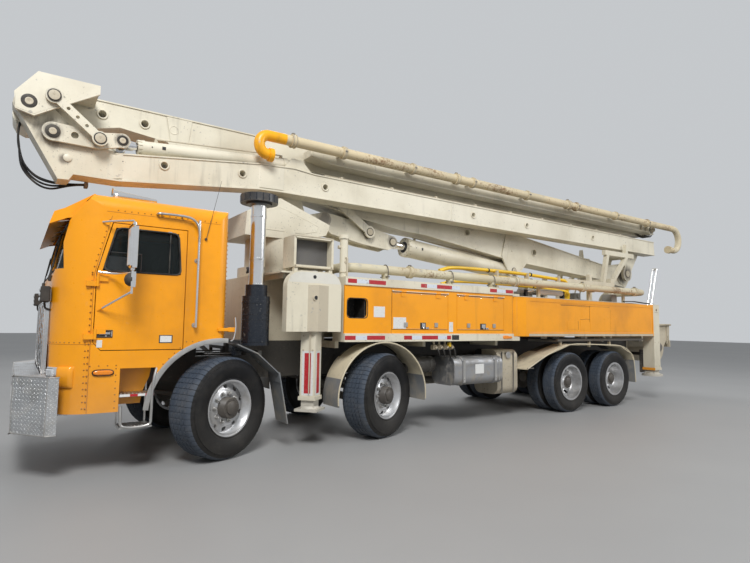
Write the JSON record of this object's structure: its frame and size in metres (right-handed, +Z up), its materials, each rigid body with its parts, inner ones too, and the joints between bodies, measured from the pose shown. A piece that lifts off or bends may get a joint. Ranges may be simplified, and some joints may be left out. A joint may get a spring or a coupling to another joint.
{
  "type": "truck-mounted concrete boom pump",
  "caption": "Four-axle concrete pump truck with a folded four-section placing boom, swing and slide outriggers, side lockers and a rear hopper.",
  "frame": {"origin": "middle of the truck's length and width, on the ground under its wheels", "axes": "+X towards the front bumper along the truck, +Y to the truck's left, +Z up"},
  "size_m": [13.5198, 3.16, 4.028],
  "materials": {
    "chassis_black": "satin black",
    "engine_grey": "oily",
    "tread_plate": "diamond tread plate",
    "amber_paint": "gloss",
    "cab_trim": "matt",
    "window_glass": "clear",
    "chrome_trim": "polished",
    "bright_steel": "bright",
    "stack_blue": "gloss dark blue",
    "cream_paint": "semi-gloss, dusty",
    "pump_grey": "satin",
    "fender_plastic": "matt",
    "polished_aluminium": "polished",
    "worn_steel": "worn",
    "tyre_rubber": "matt",
    "rod_chrome": "polished"
  },
  "bodies": {
    "truck": {"chassis_frame": "chassis_black", "engine": "engine_grey", "axles": "chassis_black", "bumper": "tread_plate", "cab_shell": "amber_paint", "cab_interior": "cab_trim", "cab_glass": "window_glass", "grille": "chrome_trim", "cab_fittings": "bright_steel", "air_stack": "stack_blue", "cooler": "cream_paint", "deck_lockers": "cream_paint", "delivery_line": "cream_paint", "pump_cells": "pump_grey", "hopper": "cream_paint", "boom_rest": "cream_paint", "fenders": "fender_plastic", "tool_boxes": "polished_aluminium", "outrigger_housing": "cream_paint"},
    "door_left": {"door_left": "amber_paint", "door_glass_left": "window_glass"},
    "door_right": {"door_right": "amber_paint", "door_glass_right": "window_glass"},
    "locker_door_1": {"locker_door_1": "amber_paint"},
    "locker_door_2": {"locker_door_2": "amber_paint"},
    "hopper_grate": {"hopper_grate": "worn_steel"},
    "agitator": {"agitator": "worn_steel"},
    "knuckle_1_left": {"knuckle_1_left": "chassis_black"},
    "knuckle_1_right": {"knuckle_1_right": "chassis_black"},
    "knuckle_2_left": {"knuckle_2_left": "chassis_black"},
    "knuckle_2_right": {"knuckle_2_right": "chassis_black"},
    "wheel_1_left": {"wheel_1_left": "tyre_rubber"},
    "wheel_1_right": {"wheel_1_right": "tyre_rubber"},
    "wheel_2_left": {"wheel_2_left": "tyre_rubber"},
    "wheel_2_right": {"wheel_2_right": "tyre_rubber"},
    "twin_3_left": {"twin_3_left": "tyre_rubber"},
    "twin_3_right": {"twin_3_right": "tyre_rubber"},
    "twin_4_left": {"twin_4_left": "tyre_rubber"},
    "twin_4_right": {"twin_4_right": "tyre_rubber"},
    "front_arm_left": {"front_arm_left": "cream_paint"},
    "front_arm_right": {"front_arm_right": "cream_paint"},
    "front_foot_left": {"front_foot_left": "bright_steel"},
    "front_foot_right": {"front_foot_right": "bright_steel"},
    "rear_arm_left": {"rear_arm_left": "amber_paint"},
    "rear_arm_right": {"rear_arm_right": "amber_paint"},
    "rear_foot_left": {"rear_foot_left": "bright_steel"},
    "rear_foot_right": {"rear_foot_right": "bright_steel"},
    "turret": {"turret": "cream_paint"},
    "boom_1": {"boom_1": "cream_paint"},
    "boom_2": {"boom_2": "cream_paint"},
    "boom_3": {"boom_3": "cream_paint"},
    "boom_4": {"boom_4": "cream_paint"},
    "lift_lever": {"lift_lever": "cream_paint"},
    "lift_link": {"lift_link": "cream_paint"},
    "lift_barrel": {"lift_barrel": "cream_paint"},
    "lift_rod": {"lift_rod": "rod_chrome"},
    "fold_lever": {"fold_lever": "cream_paint"},
    "fold_link": {"fold_link": "cream_paint"},
    "fold_barrel": {"fold_barrel": "cream_paint"},
    "fold_rod": {"fold_rod": "rod_chrome"}
  },
  "joints": [
    {"name": "boom_lift", "type": "hinge", "parent": "turret", "child": "boom_1", "pos_m": [3.585, 0, 3.42], "axis": [0, 1, 0], "range_deg": [0, 90]},
    {"name": "slew", "type": "hinge", "parent": "truck", "child": "turret", "pos_m": [3.635, 0, 2.1], "axis": [0, 0, 1], "range_deg": [-185, 185]},
    {"name": "boom_unfold", "type": "hinge", "parent": "boom_1", "child": "boom_2", "pos_m": [-4.945, 0, 2.71], "axis": [0, -1, 0], "range_deg": [-1, 181]},
    {"name": "lift_lever_swing", "type": "hinge", "parent": "turret", "child": "lift_lever", "pos_m": [2.945, 0, 3], "axis": [0, 1, 0], "range_deg": [-1, 91]},
    {"name": "lift_link_swing", "type": "hinge", "parent": "lift_lever", "child": "lift_link", "pos_m": [2.165, 0, 2.89], "axis": [0, 1, 0], "range_deg": [-91, 1]},
    {"name": "lift_barrel_swing", "type": "hinge", "parent": "boom_1", "child": "lift_barrel", "pos_m": [-1.175, 0, 2.52], "axis": [0, 1, 0], "range_deg": [-1, 5.68]},
    {"name": "lift_ram", "type": "slide", "parent": "lift_barrel", "child": "lift_rod", "axis": [0.9955, 0, 0.0943], "range_m": [-0.01, 1.058]},
    {"name": "boom_fold", "type": "hinge", "parent": "boom_2", "child": "boom_3", "pos_m": [6.615, 0, 3.67], "axis": [0, 1, 0], "range_deg": [0, 180]},
    {"name": "fold_lever_swing", "type": "hinge", "parent": "boom_2", "child": "fold_lever", "pos_m": [6.395, 0, 3.42], "axis": [0, 1, 0], "range_deg": [-1, 83.28]},
    {"name": "fold_link_swing", "type": "hinge", "parent": "fold_lever", "child": "fold_link", "pos_m": [5.965, 0, 3.41], "axis": [0, 1, 0], "range_deg": [-15.09, 1]},
    {"name": "fold_barrel_swing", "type": "hinge", "parent": "boom_2", "child": "fold_barrel", "pos_m": [3.565, 0, 3.63], "axis": [0, 1, 0], "range_deg": [-14.66, 1]},
    {"name": "fold_ram", "type": "slide", "parent": "fold_barrel", "child": "fold_rod", "axis": [0.9969, 0, -0.0781], "range_m": [-0.01, 0.6504]},
    {"name": "boom_tip", "type": "hinge", "parent": "boom_3", "child": "boom_4", "pos_m": [-5.755, 0, 3.8], "axis": [0, -1, 0], "range_deg": [0, 180]},
    {"name": "steer_1_left", "type": "hinge", "parent": "truck", "child": "knuckle_1_left", "pos_m": [4.745, 0.93, 0.545], "axis": [0, 0, 1], "range_deg": [-61, 15]},
    {"name": "roll_1_left", "type": "hinge", "parent": "knuckle_1_left", "child": "wheel_1_left", "pos_m": [4.70007, 1.03586, 0.545], "axis": [-0.3907, 0.9205, 0], "continuous": true},
    {"name": "steer_1_right", "type": "hinge", "parent": "truck", "child": "knuckle_1_right", "pos_m": [4.745, -0.93, 0.545], "axis": [0, 0, 1], "range_deg": [-61.5, 15.5]},
    {"name": "roll_1_right", "type": "hinge", "parent": "knuckle_1_right", "child": "wheel_1_right", "pos_m": [4.78993, -1.03586, 0.545], "axis": [-0.3907, 0.9205, 0], "continuous": true},
    {"name": "steer_2_left", "type": "hinge", "parent": "truck", "child": "knuckle_2_left", "pos_m": [2.625, 0.93, 0.545], "axis": [0, 0, 1], "range_deg": [-50.89, 12.89]},
    {"name": "roll_2_left", "type": "hinge", "parent": "knuckle_2_left", "child": "wheel_2_left", "pos_m": [2.58756, 1.03873, 0.545], "axis": [-0.3256, 0.9455, 0], "continuous": true},
    {"name": "steer_2_right", "type": "hinge", "parent": "truck", "child": "knuckle_2_right", "pos_m": [2.625, -0.93, 0.545], "axis": [0, 0, 1], "range_deg": [-50.89, 12.89]},
    {"name": "roll_2_right", "type": "hinge", "parent": "knuckle_2_right", "child": "wheel_2_right", "pos_m": [2.66244, -1.03873, 0.545], "axis": [-0.3256, 0.9455, 0], "continuous": true},
    {"name": "roll_3_left", "type": "hinge", "parent": "truck", "child": "twin_3_left", "pos_m": [-1.425, 0.9, 0.512], "axis": [0, 1, 0], "continuous": true},
    {"name": "roll_3_right", "type": "hinge", "parent": "truck", "child": "twin_3_right", "pos_m": [-1.425, -0.9, 0.512], "axis": [0, 1, 0], "continuous": true},
    {"name": "roll_4_left", "type": "hinge", "parent": "truck", "child": "twin_4_left", "pos_m": [-2.768, 0.9, 0.512], "axis": [0, 1, 0], "continuous": true},
    {"name": "roll_4_right", "type": "hinge", "parent": "truck", "child": "twin_4_right", "pos_m": [-2.768, -0.9, 0.512], "axis": [0, 1, 0], "continuous": true},
    {"name": "door_left_swing", "type": "hinge", "parent": "truck", "child": "door_left", "pos_m": [5.98, 1.235, 1.8], "axis": [0, 0, -1], "range_deg": [0, 65]},
    {"name": "door_right_swing", "type": "hinge", "parent": "truck", "child": "door_right", "pos_m": [5.98, -1.235, 1.8], "axis": [0, 0, 1], "range_deg": [0, 65]},
    {"name": "locker_door_1_lift", "type": "hinge", "parent": "truck", "child": "locker_door_1", "pos_m": [2.015, 1.246, 1.913], "axis": [1, 0, 0], "range_deg": [0, 100]},
    {"name": "locker_door_2_lift", "type": "hinge", "parent": "truck", "child": "locker_door_2", "pos_m": [0.845, 1.246, 1.913], "axis": [1, 0, 0], "range_deg": [0, 100]},
    {"name": "grate_lift", "type": "hinge", "parent": "truck", "child": "hopper_grate", "pos_m": [-4.695, 0, 1.49], "axis": [0, 1, 0], "range_deg": [0, 95]},
    {"name": "agitator_spin", "type": "hinge", "parent": "truck", "child": "agitator", "pos_m": [-5.165, 0, 1.05], "axis": [0, 1, 0], "continuous": true},
    {"name": "front_arm_left_slide", "type": "slide", "parent": "truck", "child": "front_arm_left", "axis": [0.766, 0.6428, 0], "range_m": [0, 1.8]},
    {"name": "front_foot_left_lower", "type": "slide", "parent": "front_arm_left", "child": "front_foot_left", "axis": [0, 0, -1], "range_m": [0, 0.425]},
    {"name": "rear_arm_left_swing", "type": "hinge", "parent": "truck", "child": "rear_arm_left", "pos_m": [0.015, 1.13, 1.6], "axis": [0, 0, -1], "range_deg": [0, 68]},
    {"name": "rear_foot_left_lower", "type": "slide", "parent": "rear_arm_left", "child": "rear_foot_left", "axis": [0, 0, -1], "range_m": [0, 0.495]},
    {"name": "front_arm_right_slide", "type": "slide", "parent": "truck", "child": "front_arm_right", "axis": [0.766, -0.6428, 0], "range_m": [0, 1.8]},
    {"name": "front_foot_right_lower", "type": "slide", "parent": "front_arm_right", "child": "front_foot_right", "axis": [0, 0, -1], "range_m": [0, 0.425]},
    {"name": "rear_arm_right_swing", "type": "hinge", "parent": "truck", "child": "rear_arm_right", "pos_m": [0.015, -1.13, 1.6], "axis": [0, 0, 1], "range_deg": [0, 68]},
    {"name": "rear_foot_right_lower", "type": "slide", "parent": "rear_arm_right", "child": "rear_foot_right", "axis": [0, 0, -1], "range_m": [0, 0.495]}
  ],
  "couplings": [
    {"joint": "slew", "follows": "boom_lift", "ratio": 0.25},
    {"joint": "boom_unfold", "follows": "boom_lift", "ratio": 2},
    {"joint": "lift_lever_swing", "follows": "boom_lift", "ratio": 1},
    {"joint": "lift_link_swing", "follows": "boom_lift", "ratio": -1},
    {"joint": "lift_barrel_swing", "follows": "boom_lift", "ratio": 0.05199},
    {"joint": "lift_ram", "follows": "boom_lift", "m_per_rad": 0.6669},
    {"joint": "fold_lever_swing", "follows": "boom_fold", "ratio": 0.45709},
    {"joint": "fold_link_swing", "follows": "boom_fold", "ratio": -0.07825},
    {"joint": "fold_barrel_swing", "follows": "boom_fold", "ratio": -0.07588},
    {"joint": "fold_ram", "follows": "boom_fold", "m_per_rad": 0.20383},
    {"joint": "steer_1_right", "follows": "steer_1_left", "ratio": 1},
    {"joint": "steer_2_left", "follows": "steer_1_left", "ratio": 0.82609},
    {"joint": "steer_2_right", "follows": "steer_1_left", "ratio": 0.82609}
  ]
}
